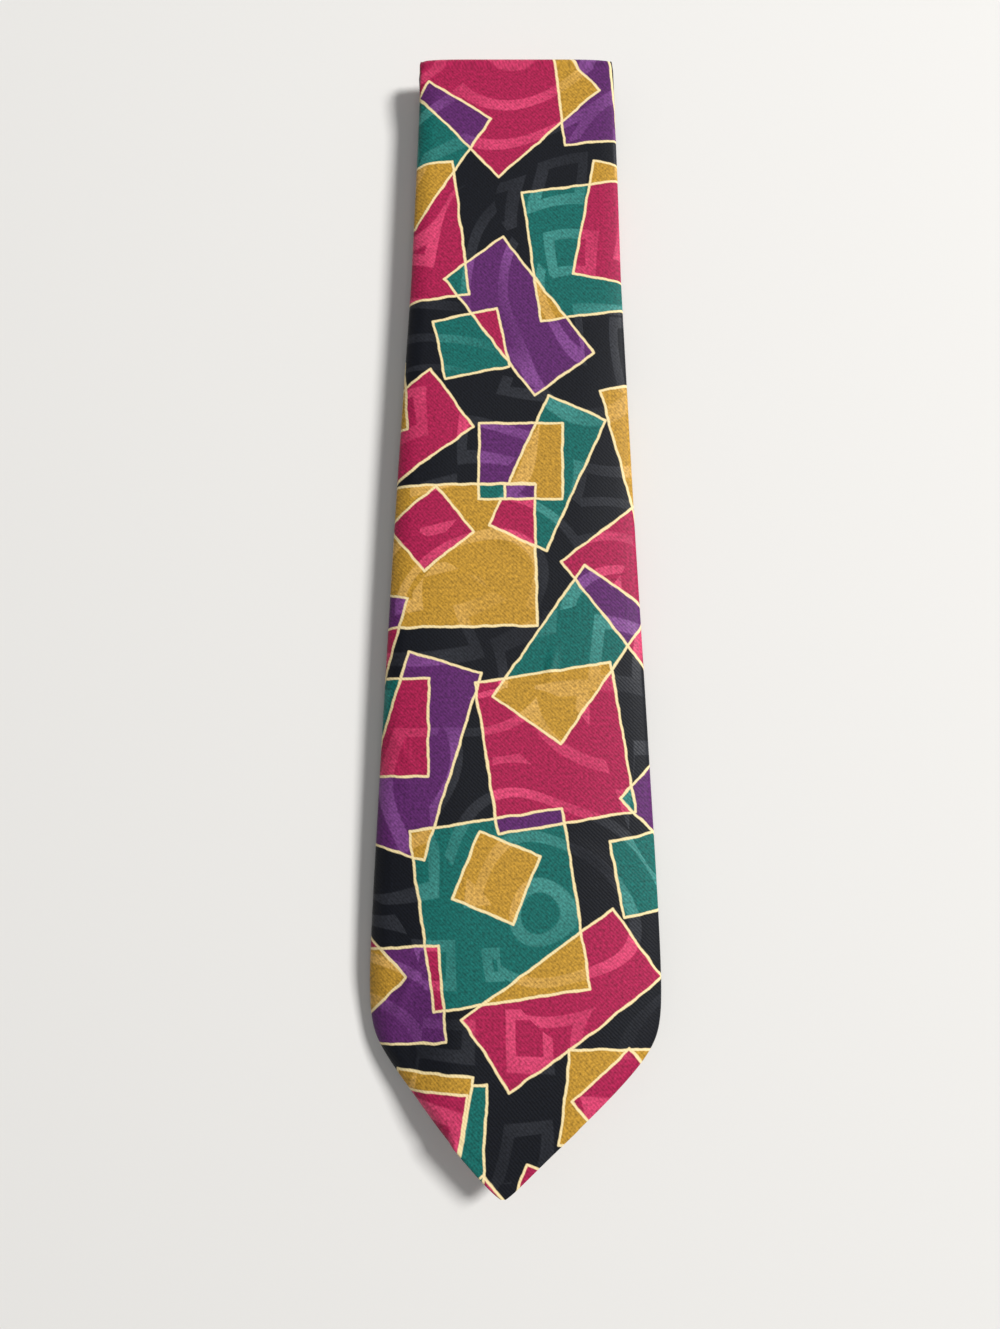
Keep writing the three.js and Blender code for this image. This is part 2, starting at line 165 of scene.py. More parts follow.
DROOP, LEFT_DROOP = 0.0034, 1.25  # fall per square millimetre of overhang, and how much more on the left
DROOP_INSIDE = 6  # the fall starts this far inside the edge of the leaf below
HELD_FROM, HELD_LONG = 95, 80  # from this y and over this length, the top fold comes to hold the leaf flat
TIP_FALL, TIP_FALL_FROM, TIP_FALL_LONG = 0.7, -152, 36  # fall of the whole point, from this y on
SIDE_FALL, SIDE_FALL_X, SIDE_FALL_WIDE = 2.2, -18, 16  # fall of its left side, from this x on
SIDE_LOW, SIDE_LOW_SOFT = -188, 22  # y of the lower and upper end of that, and how soft they are
SIDE_HIGH, SIDE_HIGH_SOFT = -118, 24
NECK_SIDE, NECK_ROOM, NECK_SLOPE = 19.3, 0.7, 1.2  # over the neck leaf it hangs by no more than this room
EDGE_ROLL, LEFT_ROLL, RIGHT_ROLL = 6, 1.9, 0.5  # width of the rounded edge, and its fall on either side
ROLL_SOFT = 14  # the rounding fades out in this far from the top fold
WAVE, WAVE_WIDE, WAVE_LONG, WAVE_SLICE = 0.55, 46, 58, 3.7  # height and size of the gentle unevenness
CREASES = [  # x, y, direction in degrees, length, height
    (-16, 6, 6, 34, 0.6),
    (-4, 20, -38, 20, 0.6),
    (-22, -4, 14, 24, 0.5),
    (12, -24, 78, 9, 0.65),
    (18, -27, 6, 26, 0.5),
    (-34, -126, 62, 22, 0.65),
    (-36, -52, -60, 14, 0.4),
    (-37, -60, -48, 12, 0.36),
    (24, -84, -30, 26, 0.22),
    (22, 96, 24, 20, 0.18),
]
CREASE_WIDTH = 1.5
CREASE_BEND = 0.01


def rise(x, y):
    """How far the front leaf lies above (or hangs below) a flat one."""
    below = half_width(second.start + (BLADE_FOLD_Y - max(y, NECK_FOLD_Y)))
    overhang = max(abs(x) - below + DROOP_INSIDE, 0)
    held = 1 - smooth((y - HELD_FROM) / HELD_LONG)
    fall = DROOP * (LEFT_DROOP if x < 0 else 1) * overhang**2 * held
    fall += TIP_FALL * smooth((TIP_FALL_FROM - y) / TIP_FALL_LONG)
    side = smooth((y - SIDE_LOW) / SIDE_LOW_SOFT) * smooth((SIDE_HIGH - y) / SIDE_HIGH_SOFT)
    fall += SIDE_FALL * side * smooth((SIDE_FALL_X - x) / SIDE_FALL_WIDE)
    inside = half_width(y - TIP_Y) - abs(x)
    rolled = max(1 - max(inside, 0) / EDGE_ROLL, 0) ** 2 * smooth((BLADE_FOLD_Y - y) / ROLL_SOFT)
    fall += (LEFT_ROLL if x < 0 else RIGHT_ROLL) * rolled
    beside = max(abs(x + sway(y - TIP_Y)) - NECK_SIDE, 0)
    fall = min(fall, NECK_ROOM + NECK_SLOPE * beside)
    wave = 0.5 + 0.5 * noise.noise(Vector((x / WAVE_WIDE, y / WAVE_LONG, WAVE_SLICE)))
    up = WAVE * min(max(wave, 0), 1) * held
    for cx, cy, turn, long, high in CREASES:
        c, s = math.cos(math.radians(turn)), math.sin(math.radians(turn))
        along = (x - cx) * c + (y - cy) * s
        across = (y - cy) * c - (x - cx) * s + CREASE_BEND * along**2
        up += high * math.exp(-((across / CREASE_WIDTH) ** 2) - (along / long * 2) ** 2)
    return up - fall


def lay(leaf, x, run, depth):
    """The point at a place on a flat leaf, in metres."""
    y = leaf.y0 + leaf.way * (run - leaf.start)
    z = leaf.face - leaf.up * depth
    if leaf is front:
        z += rise(x, y)
        x += sway(run)
    return Vector((x, y, z)) * MM


TOP_REACH = 2.0  # the outer layers of the top fold run on this far before they turn, so it is full and soft
TOP_CORNER, CORNER_SHARP = 0.45, 8  # at its two ends by this share less, and how suddenly
TOP_OUTER = 1.0  # the outer layers are those with a radius no more than this below the fold's hinge


def lay_fold(fold, x, share, radius):
    """The point at a share (0 on the upper leaf, 1 on the lower) of one layer's half turn, in metres."""
    reach = fold.hinge
    if fold is blade_fold and radius > fold.hinge - TOP_OUTER:
        reach = TOP_REACH * (1 - TOP_CORNER * min(abs(x) / half_width(fold.start), 1) ** CORNER_SHARP)
    length = 2 * reach + math.pi * radius
    at = share * length
    turn = min(max(at - reach, 0) / radius, math.pi)
    straight = min(at, reach) if turn < math.pi else max(length - at, 0)
    if fold is blade_fold:
        x += sway(fold.start) * (1 - share)
    y = fold.y + fold.way * (straight + radius * math.sin(turn))
    return Vector((x, y, fold.z + radius * math.cos(turn))) * MM


# -------- silk shell
# One cloth of printed jacquard silk makes the blade, and two more the neck piece and the tail. Each is cut on
# the bias, rolled round the interlining, and lapped and slip stitched along the middle of the back.

CLOTH = 0.3
FACE, UNDER_FLAP, OVER_FLAP = CLOTH / 2, 1.75, 2.55  # depths of the middle of each layer of silk
LAP = 5  # each flap crosses the middle of the back by this much
HEM = 8  # turned in along the edges of a tip
FLAP_CORNER = 9  # flap left beside the opening at a tip's corners
FLAP_LEAST = 0.05
OPENING_SOFT = 0.6
BLADE_TACK, TAIL_TACK = 118, 62  # tip to the bar tack that closes the back
CLOSING = 10  # past the tack the flaps come to lie over each other in this length
OVER_FROM, OVER_LONG = 0.6, 0.5  # one flap climbs over the other from this share of the way to the tack
NOSE_SHARE = 2.2  # half of the width is at least this many times the radius of a rolled edge


def over_depth(run):
    """The flap on top lies level with the other at the tip, and over it past the tack."""
    from_tip, tack = (run, BLADE_TACK) if run < RUN / 2 else (RUN - run, TAIL_TACK)
    return UNDER_FLAP + (OVER_FLAP - UNDER_FLAP) * smooth((from_tip - OVER_FROM * tack) / (OVER_LONG * tack))


def flap_end(run):
    """How far from the middle of the back a flap ends: below 0 where the flaps lap."""
    from_tip, tack, tip = (run, BLADE_TACK, BLADE_TIP) if run < RUN / 2 else (RUN - run, TAIL_TACK, TAIL_TIP)
    if from_tip > tack:
        return -LAP * smooth((from_tip - tack) / CLOSING)
    hem = half_width(run) - HEM * math.sqrt(2)
    slope = (tip - FLAP_CORNER) / (tack - tip)
    return max(soft_least(hem, slope * (tack - from_tip), OPENING_SOFT), 0)


def silk_columns(face, flap, nose):
    """Columns across a rolled cloth: which stretch each lies on, and how far along it."""
    stretches = [("under", flap), ("left", nose), ("face", face), ("right", nose), ("over", flap)]
    made = [("under", 0)]
    for kind, count in stretches:
        made += [(kind, (step + 1) / count) for step in range(count)]
    return made


def silk_across(column, run):
    """Across, depth and distance from the middle of the flat cloth, at a column of the rolled shell."""
    kind, share = column
    half = half_width(run)
    side = -1 if kind in ("under", "left") else 1
    flap_depth = UNDER_FLAP if side < 0 else over_depth(run)
    nose = min((flap_depth - FACE) / 2, half / NOSE_SHARE)
    straight = half - nose
    if kind == "face":
        x = straight * (2 * share - 1)
        return x, FACE, x
    if kind in ("left", "right"):
        turn = math.pi * (1 - share if kind == "left" else share)
        x = side * (straight + nose * math.sin(turn))
        return x, FACE + nose * (1 - math.cos(turn)), side * (straight + nose * turn)
    end = min(flap_end(run), straight - FLAP_LEAST)
    inward = 1 - share if kind == "under" else share
    out = straight + inward * (end - straight)
    return side * out, FACE + 2 * nose, side * (2 * straight - out + math.pi * nose)


def cloth_grid(name, columns, rows, place, material, thick):
    """A sheet of cloth. place(column, row) gives each point and its place on the flat cloth, in metres."""
    shape = bmesh.new()
    bmesh.ops.create_grid(shape, x_segments=columns, y_segments=rows, size=1.0)
    flat = {}
    for corner in shape.verts:
        column = round((corner.co.x + 1) / 2 * columns)
        row = round((corner.co.y + 1) / 2 * rows)
        corner.co, flat[corner] = place(column, row)
    cloth = shape.loops.layers.uv.new("cloth")
    for edge in shape.edges:
        edge.smooth = not edge.is_boundary
    for face in shape.faces:
        face.smooth = True
        for loop in face.loops:
            loop[cloth].uv = flat[loop.vert]
    piece = link_piece(name, shape, material)
    wall = piece.modifiers.new("thickness", "SOLIDIFY")
    wall.thickness = thick * MM
    wall.offset = 0
    return piece


def link_piece(name, shape, material):
    """Puts a finished shape in the scene, as a piece of one material."""
    mesh = bpy.data.meshes.new(name)
    shape.to_mesh(mesh)
    shape.free()
    piece = bpy.data.objects.new(name, mesh)
    bpy.context.scene.collection.objects.link(piece)
    mesh.materials.append(material)
    return piece


def srgb(code):
    """A linear colour from a hex value."""
    parts = [int(code[i : i + 2], 16) / 255 for i in (1, 3, 5)]
    return tuple(p / 12.92 if p <= 0.04045 else ((p + 0.055) / 1.055) ** 2.4 for p in parts) + (1,)


def add(tree, kind, inputs=(), output=0, **settings):
    """Adds a node with its settings and links, and gives back one of its outputs, or all for None.

    The kind is written without the leading ShaderNode, and an operation may follow it. The inputs come in
    order or by name, and each is a value, or the output that it is linked to.
    """
    kind, *operation = kind.split()
    node = tree.nodes.new(kind if kind.startswith("NodeGroup") else "ShaderNode" + kind)
    if operation:
        node.operation = operation[0]
    for name, value in settings.items():
        setattr(node, name, value)
    for name, value in inputs.items() if isinstance(inputs, dict) else enumerate(inputs):
        if isinstance(value, bpy.types.NodeSocket):
            tree.links.new(value, node.inputs[name])
        else:
            node.inputs[name].default_value = value
    if output is None:
        return node.outputs
    return node.outputs[output] if node.outputs else None


def cloth_material(name):
    """A new material, its tree, and the place on the flat cloth, in millimetres."""
    material = bpy.data.materials.new(name)
    material.use_nodes = True
    tree = material.node_tree
    tree.nodes.clear()
    flat = add(tree, "UVMap", uv_map="cloth")
    return material, tree, add(tree, "VectorMath SCALE", {0: flat, "Scale": 1000.0})


def patch_group():
    """One printed rectangle. It lays its colour on the print, or its other colour on another rectangle."""
    tree = bpy.data.node_groups.new("printed rectangle", "ShaderNodeTree")
    both = {"Print": "Color", "Covered": "Float", "Outline": "Float"}
    patch = {"Centre": "Vector", "Half": "Vector", "Turn": "Float", "Colour": "Color", "Over colour": "Color"}
    taken = {"Place": "Vector", **both, **patch, "Hides": "Float"}
    for way, sockets in (("INPUT", taken), ("OUTPUT", both)):
        for name, kind in sockets.items():
            tree.interface.new_socket(name, in_out=way, socket_type="NodeSocket" + kind)
    given = add(tree, "NodeGroupInput", output=None)
    away = add(tree, "VectorMath SUBTRACT", (given["Place"], given["Centre"]))
    opposite = [-side for side in PRINT_REPEAT]
    away = add(tree, "VectorMath WRAP", (away, PRINT_REPEAT, opposite))
    turned = {"Vector": away, "Angle": given["Turn"]}
    turned = add(tree, "VectorRotate", turned, rotation_type="Z_AXIS", invert=True)
    beyond = add(tree, "VectorMath ABSOLUTE", (turned,))
    beyond = add(tree, "VectorMath SUBTRACT", (beyond, given["Half"]))
    outside = add(tree, "VectorMath MAXIMUM", (beyond, (0, 0, 0)))
    outside = add(tree, "VectorMath LENGTH", (outside,), "Value")
    x, y, _ = add(tree, "SeparateXYZ", (beyond,), None)
    inside = add(tree, "Math MAXIMUM", (x, y))
    inside = add(tree, "Math MINIMUM", (inside, 0.0))
    distance = add(tree, "Math ADD", (outside, inside))
    within = add(tree, "Math LESS_THAN", (distance, 0.0))
    colours = {0: given["Covered"], 6: given["Colour"], 7: given["Over colour"]}
    colour = add(tree, "Mix", colours, 2, data_type="RGBA")
    printed = add(tree, "Mix", {0: within, 6: given["Print"], 7: colour}, 2, data_type="RGBA")
    covered = add(tree, "Math MAXIMUM", (given["Covered"], within))
    hidden = add(tree, "Math MULTIPLY", (within, given["Hides"]))
    hidden = add(tree, "Math MULTIPLY", (hidden, NO_OUTLINE))
    outline = add(tree, "Math ADD", (given["Outline"], hidden))
    nearer = add(tree, "Math ABSOLUTE", (distance,))
    outline = add(tree, "Math MINIMUM", (outline, nearer))
    add(tree, "NodeGroupOutput", (printed, covered, outline))
    return tree


PRINT_REPEAT = (95, 200, 10)  # half the distance after which the print starts again, across and along
NO_OUTLINE = 50.0  # distance from an outline where there is none
MAGENTA, TEAL, GOLD, PURPLE = "#A31B49", "#0D625B", "#B78A2E", "#592461"
BLACK, CREAM = "#0A0D15", "#F3DDA6"

# The print: rectangles laid over each other. Each has its middle, across and along from the front tip, its
# width and length, its turn in degrees, its colour, and its colour where it lies over another. One without
# that second colour hides what it lies on.
PRINT = [
    (25, 310, 40, 47, 8, TEAL, TEAL),
    (1, 286, 25, 52, 37, PURPLE, GOLD),
    (-34, 316, 30, 49, 7.5, MAGENTA, TEAL),
    (-33, 345, 48, 26, 57, TEAL, GOLD),
    (-6.4, 371.7, 48, 52, 43, MAGENTA, PURPLE),
    (24, 369, 19, 40, 6, PURPLE, GOLD),
    (33, 320, 20, 42, -10, GOLD, MAGENTA),
    (-15, 276, 22, 21, 12, TEAL, MAGENTA),
    (-35, 247, 34, 25, 36, MAGENTA, MAGENTA),
    (-43, 258, 12, 24, 4, GOLD, GOLD),
    (-18, 203, 50, 48, 1, GOLD, GOLD),
    (11, 231, 21, 49, -24, TEAL, MAGENTA),
    (2, 235, 28, 26, 0, PURPLE, GOLD),
    (-7.7, 224.5, 8.6, 5, 0, TEAL, None),
    (1.8, 224.5, 10.4, 5, 0, PURPLE, None),
    (-28, 212, 21, 20, 39, MAGENTA, None),
    (-50, 177, 22, 30, -16, MAGENTA, PURPLE),
    (43, 237, 16, 50, 15, GOLD, GOLD),
    (19, 170, 27, 53, -35, TEAL, TEAL),
    (43, 193, 34, 46, 38, MAGENTA, PURPLE),
    (13, 139.5, 45, 49, 9, MAGENTA, GOLD),
    (-5.2, 88, 49.8, 57, 8.5, TEAL, PURPLE),
    (-32, 137, 25, 63, -17, PURPLE, GOLD),
    (-38, 146, 20, 32, 0, TEAL, MAGENTA),
    (-6, 98, 21, 23, -22, GOLD, None),
    (48, 123, 20, 20, 45, PURPLE, TEAL),
    (42, 99, 19, 24.5, 11, TEAL, TEAL),
    (15, 60, 59, 27, 35.5, MAGENTA, GOLD),
    (-38, 60.5, 30, 30, 5, PURPLE, MAGENTA),
    (-54, 66, 28, 27, 46, MAGENTA, GOLD),
    (-13, 17, 12, 34, 4, TEAL, TEAL),
    (-25.5, 24.5, 24, 25.5, -3, GOLD, None),
    (-26.5, 18.5, 24, 26, -2, MAGENTA, None),
    (32, 30, 31, 29, -2, GOLD, GOLD),
    (32.5, 31.5, 23, 15, 42, MAGENTA, None),
    (10, 1, 12, 16, -17, MAGENTA, MAGENTA),
    (72, 330, 34, 44, 24, MAGENTA, GOLD),
    (-72, 250, 30, 48, -20, TEAL, PURPLE),
    (74, 170, 36, 36, 12, GOLD, MAGENTA),
    (-74, 110, 32, 46, 30, PURPLE, GOLD),
    (76, 60, 30, 42, -28, TEAL, MAGENTA),
]
OUTLINE, OUTLINE_SOFT = 0.41, 0.15  # half the width of the cream outlines, and how soft they are
DRAWN_WOBBLE = 0.75  # how far the outlines wander, as if drawn by hand
SQUARE_CELL, ARC_CELL = 40, 76  # size of the woven figure's squares and arcs
FIGURE_BEND = 26  # how far it is pulled about
BAND_SPACING, BAND_WIDTH, BAND_SOFT = 14.5, 3.8, 0.3
RIB = 1.25  # spacing of the twill's ribs, drawn coarser than the real 0.4 so that it shows


def silk_material():
    """Printed jacquard silk: painted sheen on the woven figure, a fine twill grain with painted glints, and
    crisp print edges.
    """
    material, tree, place = cloth_material("printed jacquard silk")
    wander = add(tree, "TexNoise", {"Vector": place, "Scale": 0.16, "Detail": 3.0}, "Color")
    wander = add(tree, "VectorMath SUBTRACT", (wander, (0.5, 0.5, 0.5)))
    wobble = (2 * DRAWN_WOBBLE, 2 * DRAWN_WOBBLE, 0)
    drawn = add(tree, "VectorMath MULTIPLY_ADD", (wander, wobble, place))
    rectangle = patch_group()
    printed, covered, outline = srgb(BLACK), 0.0, NO_OUTLINE
    for x, run, wide, long, turn, colour, over in PRINT:
        patch = {
            "Place": drawn,
            "Print": printed,
            "Covered": covered,
            "Outline": outline,
            "Centre": (x, run, 0),
            "Half": (wide / 2, long / 2, 1),
            "Turn": math.radians(turn),
            "Colour": srgb(colour),
            "Over colour": srgb(over or colour),
            "Hides": 0.0 if over else 1.0,
        }
        printed, covered, outline = add(tree, "Group", patch, None, node_tree=rectangle)

    # The woven figure: rounded squares here, wide arcs there, both as soft bands of satin whose sheen is
    # painted as a lighter colour
    pull = add(tree, "TexNoise", {"Vector": place, "Scale": 0.02, "Detail": 0.0}, "Color")
    pull = add(tree, "VectorMath SUBTRACT", (pull, (0.5, 0.5, 0.5)))
    pulled = add(tree, "VectorMath MULTIPLY_ADD", (pull, (FIGURE_BEND, FIGURE_BEND, 0), place))
    distances = []
    for cell, metric in ((SQUARE_CELL, "CHEBYCHEV"), (ARC_CELL, "EUCLIDEAN")):
        cells = {"Vector": pulled, "Scale": 1 / cell, "Randomness": 0.9}
        rings = add(tree, "TexVoronoi", cells, "Distance", distance=metric, voronoi_dimensions="2D")
        distances.append(add(tree, "Math MULTIPLY", (rings, float(cell))))
    which = add(tree, "TexNoise", {"Vector": place, "Scale": 0.013, "Detail": 0.0})
    which = add(tree, "Math GREATER_THAN", (which, 0.47))
    figure = add(tree, "Mix", {0: which, 2: distances[0], 3: distances[1]}, data_type="FLOAT")
    figure = add(tree, "Math PINGPONG", (figure, BAND_SPACING / 2))
    edge = (BAND_SPACING - BAND_WIDTH) / 2
    ramp = (figure, edge - BAND_SOFT, edge + BAND_SOFT, 0.0, 1.0)
    band = add(tree, "MapRange", ramp, interpolation_type="SMOOTHSTEP")
    fading = add(tree, "TexNoise", {"Vector": place, "Scale": 0.03, "Detail": 1.0})
    fading = add(tree, "Math MULTIPLY_ADD", (fading, 3.0, -0.75), use_clamp=True)
    band = add(tree, "Math MULTIPLY", (band, fading))

    # Twill ribs on the bias, broken up by the slubs of the yarn
    x, y, _ = add(tree, "SeparateXYZ", (place,), None)
    slub = add(tree, "TexNoise", {"Vector": place, "Scale": 1.3, "Detail": 3.0})
    phase = add(tree, "Math ADD", (x, y))
    phase = add(tree, "Math MULTIPLY_ADD", (slub, 0.7, phase))
    phase = add(tree, "Math MULTIPLY", (phase, 2 * math.pi / RIB))
    rib = add(tree, "Math SINE", (phase,))
    # The colour is scaled up and down in small flecks and along the ribs: partly the yarn's own grain, partly
    # painted glints
    grain_and_glints = add(tree, "TexNoise", {"Vector": place, "Scale": 1.05, "Detail": 2.0})
    grain_and_glints = add(tree, "Math MULTIPLY_ADD", (grain_and_glints, 1.6, 0.2))
    grain_and_glints = add(tree, "Math MULTIPLY_ADD", (rib, 0.07, grain_and_glints))

    # Painted sheen on the figure: darker colours are made lighter more strongly, and all colours a little
    # paler
    brightness = add(tree, "RGBToBW", (printed,))
    sheen_gain = add(tree, "Math MULTIPLY_ADD", (brightness, -1.9, 1.8))
    sheen_lift = add(tree, "Math SQRT", (brightness,))
    sheen_lift = add(tree, "Math MULTIPLY_ADD", (sheen_lift, 0.09, 0.01))
    lighter = add(tree, "VectorMath MULTIPLY_ADD", (printed, sheen_gain, sheen_lift))
    colour = add(tree, "Mix", {0: band, 6: printed, 7: lighter}, 2, data_type="RGBA")
    colour = add(tree, "VectorMath SCALE", {0: colour, "Scale": grain_and_glints})
    line = add(tree, "MapRange", (outline, OUTLINE - OUTLINE_SOFT, OUTLINE + OUTLINE_SOFT, 1.0, 0.0))
    colour = add(tree, "Mix", {0: line, 6: colour, 7: srgb(CREAM)}, 2, data_type="RGBA")

    rough = add(tree, "Math MULTIPLY_ADD", (band, -0.1, 0.52))
    rough = add(tree, "Math MULTIPLY_ADD", (slub, 0.1, rough))
    height = add(tree, "Math MULTIPLY", (slub, 1.4))
    height = add(tree, "Math MULTIPLY_ADD", (rib, 0.35, height))
    height = add(tree, "Math MULTIPLY_ADD", (band, 0.6, height))
    bump = add(tree, "Bump", {"Height": height, "Strength": 0.4, "Distance": 0.00012})
    surface = {"Base Color": colour, "Roughness": rough, "Normal": bump, "Specular IOR Level": 0.2}
    surface.update({"Sheen Weight": 0.05, "Sheen Roughness": 0.4})
    add(tree, "OutputMaterial", (add(tree, "BsdfPrincipled", surface),))
    return material


silk = silk_material()
SHIFT = {"blade": (0, 0), "neck": (31, 67), "tail": (-22, 151)}  # each cloth is cut from its own place


def fasten(piece, body, node):
    """Says which body a piece moves with, and hides the solid that it stands for."""
    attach(piece, body)
    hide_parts(node)


def crowded(share, crowd):
    """Brings rows closer together at the start of a leaf (crowd above 1) or at its end (below 1)."""
    return share**crowd if crowd >= 1 else 1 - (1 - share) ** (1 / crowd)


def silk_leaf(name, node, leaf, ends, cut, across, rows, crowd=1, lean=(0, 0)):
    """A rolled length of silk on one leaf. lean slants its ends on the bias, in run per distance across."""
    columns = silk_columns(*across)
    start, end = ends
    shift_x, shift_run = SHIFT[cut]

    def place(column, row):
        share = crowded(row / rows, crowd)
        run = start + share * (end - start)
        middle = silk_across(columns[column], run)[2]
        run += middle * (lean[0] + share * (lean[1] - lean[0]))
        x, depth, flat = silk_across(columns[column], run)
        return lay(leaf, x, run, depth), ((flat + shift_x) * MM, (run + shift_run) * MM)

    piece = cloth_grid(name, len(columns) - 1, rows, place, silk, CLOTH)
    fasten(piece, leaf.body, node)


def seam_run(node):
    """Run of a bias seam at the middle of the face."""
    low, high = box_mm(node)
    return (low.y + high.y) / 2 - neck.y0 + neck.start


TIP_START = 0.12
TIP_CROWD = 1.35  # rows stand closer towards a tip
BIAS = 0.75
SEAM_SLIT = 0.1
blade_seam, tail_seam = seam_run("blade_seam_thread"), seam_run("tail_seam_thread")
BLADE_END = (neck.start, blade_seam - SEAM_SLIT)
NECK_PIECE = (blade_seam + SEAM_SLIT, tail_seam - SEAM_SLIT)
TAIL_END = (tail_seam + SEAM_SLIT, neck.end)
TO_BLADE_TIP = (TIP_START, front.end)
TO_TAIL_TIP = (tail.start, RUN - TIP_START)
WIDE, SLIM, TAIL_WIDE = (112, 26, 7), (24, 10, 5), (40, 14, 6)  # squares across face, flap and rolled edge

silk_leaf("silk_front_leaf", "front_blade_shell", front, TO_BLADE_TIP, "blade", WIDE, 240, TIP_CROWD)
silk_leaf("silk_second_leaf", "second_leaf_shell", second, (second.start, second.end), "blade", SLIM, 80)
silk_leaf("silk_blade_neck_end", "blade_shell_neck_end", neck, BLADE_END, "blade", SLIM, 24, lean=(0, BIAS))
silk_leaf("silk_neck_piece", "neck_piece_shell", neck, NECK_PIECE, "neck", SLIM, 60, lean=(BIAS, BIAS))
silk_leaf("silk_tail_neck_end", "tail_shell_neck_end", neck, TAIL_END, "tail", SLIM, 24, lean=(BIAS, 0))
silk_leaf("silk_tail_leaf", "tail_shell", tail, TO_TAIL_TIP, "tail", TAIL_WIDE, 140, 1 / TIP_CROWD)


# -------- silk at the folds
# The shell isn't cut at a fold: face, under flap and over flap each turn round it, the face on the outside of
# the top and tail folds and on the inside of the lower one.

# The leaves that a fold joins, on which side of it the first of them lies (1 above, -1 below), and its cloth.
# The second leaf opens by turning about +X from the first, so that a half turn can only go that way.
blade_fold.joins, blade_fold.side, blade_fold.cut = (front, second), 1, "blade"
neck_fold.joins, neck_fold.side, neck_fold.cut = (neck, second), -1, "blade"
tail_fold.joins, tail_fold.side, tail_fold.cut = (neck, tail), 1, "tail"
FOLDS = [blade_fold, neck_fold, tail_fold]
FOLD_ROWS = 20


def fold_radius(fold, depth):
    """Radius of the layer at a depth from the printed face, which is inside the lower fold."""
    return fold.gap / 2 + (depth if fold is neck_fold else LEAF - depth)


def bend(piece):
    """Fixes a layer at a fold where it lies, baking its place into its mesh."""
    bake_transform(piece)


def fold_layer(name, fold, count, across, shift, material, thick):
    """A layer of cloth round a fold. across(column, run) gives its place across, depth and flat place."""

    def place(column, row):
        share = row / FOLD_ROWS
        run = fold.start + share * (fold.end - fold.start)
        x, depth, flat = across(column, run)
        at = lay_fold(fold, x, 1 - share if fold is neck_fold else share, fold_radius(fold, depth))
        return at, ((flat + shift[0]) * MM, (run + shift[1]) * MM)

    return cloth_grid(name, count, FOLD_ROWS, place, material, thick)


ENTERING, LEAVING = (1 / 8, 2 / 8, 3 / 8, 4 / 8), (4 / 8, 5 / 8, 6 / 8, 7 / 8)  # halves of a rolled edge
FOLD_LAYERS = [  # stretch of the shell, name, depth, and its parts of the rolled edges before and after it
    ("face", "face", FACE, [("left", 0.5), ("left", 0.75)], [("right", share) for share in ENTERING]),
    ("under", "under_flap", UNDER_FLAP, [], [("left", share) for share in ENTERING]),
    ("over", "over_flap", OVER_FLAP, [("right", share) for share in LEAVING], []),
]
for fold in FOLDS:
    for stretch, layer, depth, before, after in FOLD_LAYERS:
        columns = before + [column for column in silk_columns(60, 20, 8) if column[0] == stretch] + after

        def across(column, run, columns=columns):
            return silk_across(columns[column], run)

        name = f"silk_{fold.name}_{layer}"
        piece = fold_layer(name, fold, len(columns) - 1, across, SHIFT[fold.cut], silk, CLOTH)
        bend(piece)
        if stretch == "face":
            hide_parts(f"{fold.name}_shell")


# -------- interlining
# One length of brushed wool canvas from tip to tip gives the tie its body. It is cut on the bias a little
# narrower than the tie, and isn't sewn to the shell. It shows only where the back opens, at its edges.

CANVAS = SimpleNamespace(depth=0.8, thick=0.66, inset=1.7)
CANVAS_TIP = 2.4  # it stops this far short of a tip
CANVAS_FOLD_COLUMNS = 24
NARROWEST = 0.25


def canvas_material():
    """Brushed wool: cream, quite matt, with a short nap and a plain weave under it."""
    material, tree, place = cloth_material("brushed wool canvas")
    stretched = add(tree, "VectorMath MULTIPLY", (place, (3.2, 0.7, 1)))
    nap = add(tree, "TexNoise", {"Vector": stretched, "Scale": 1.0, "Detail": 4.0})
    weave = add(tree, "TexVoronoi", {"Vector": place, "Scale": 1.4, "Randomness": 0.25})
    colour = add(tree, "Mix", {0: nap, 6: srgb("#C9BFA4"), 7: srgb("#EFE7D3")}, 2, data_type="RGBA")
    height = add(tree, "Math MULTIPLY_ADD", (weave, 0.5, nap))
    bump = add(tree, "Bump", {"Height": height, "Strength": 0.6, "Distance": 0.0003})
    surface = {"Base Color": colour, "Roughness": 0.92, "Normal": bump, "Sheen Weight": 0.3}
    surface["Specular IOR Level"] = 0.2
    add(tree, "OutputMaterial", (add(tree, "BsdfPrincipled", surface),))
    return material


def inner_leaf(name, leaf, start, end, layer, material, counts, crowd=1):
    """A flat layer inside one leaf, narrower than the tie by its inset on each side."""
    columns, rows = counts

    def place(column, row):
        run = start + crowded(row / rows, crowd) * (end - start)
        x = (2 * column / columns - 1) * max(half_width(run) - layer.inset, NARROWEST)
        return lay(leaf, x, run, layer.depth), (x * MM, run * MM)

    return cloth_grid(name, columns, rows, place, material, layer.thick)


def canvas_across(column, run):
    """Across, depth and distance from the middle of the flat canvas, at one of its columns at a fold."""
    x = (2 * column / CANVAS_FOLD_COLUMNS - 1) * (half_width(run) - CANVAS.inset)
    return x, CANVAS.depth, x


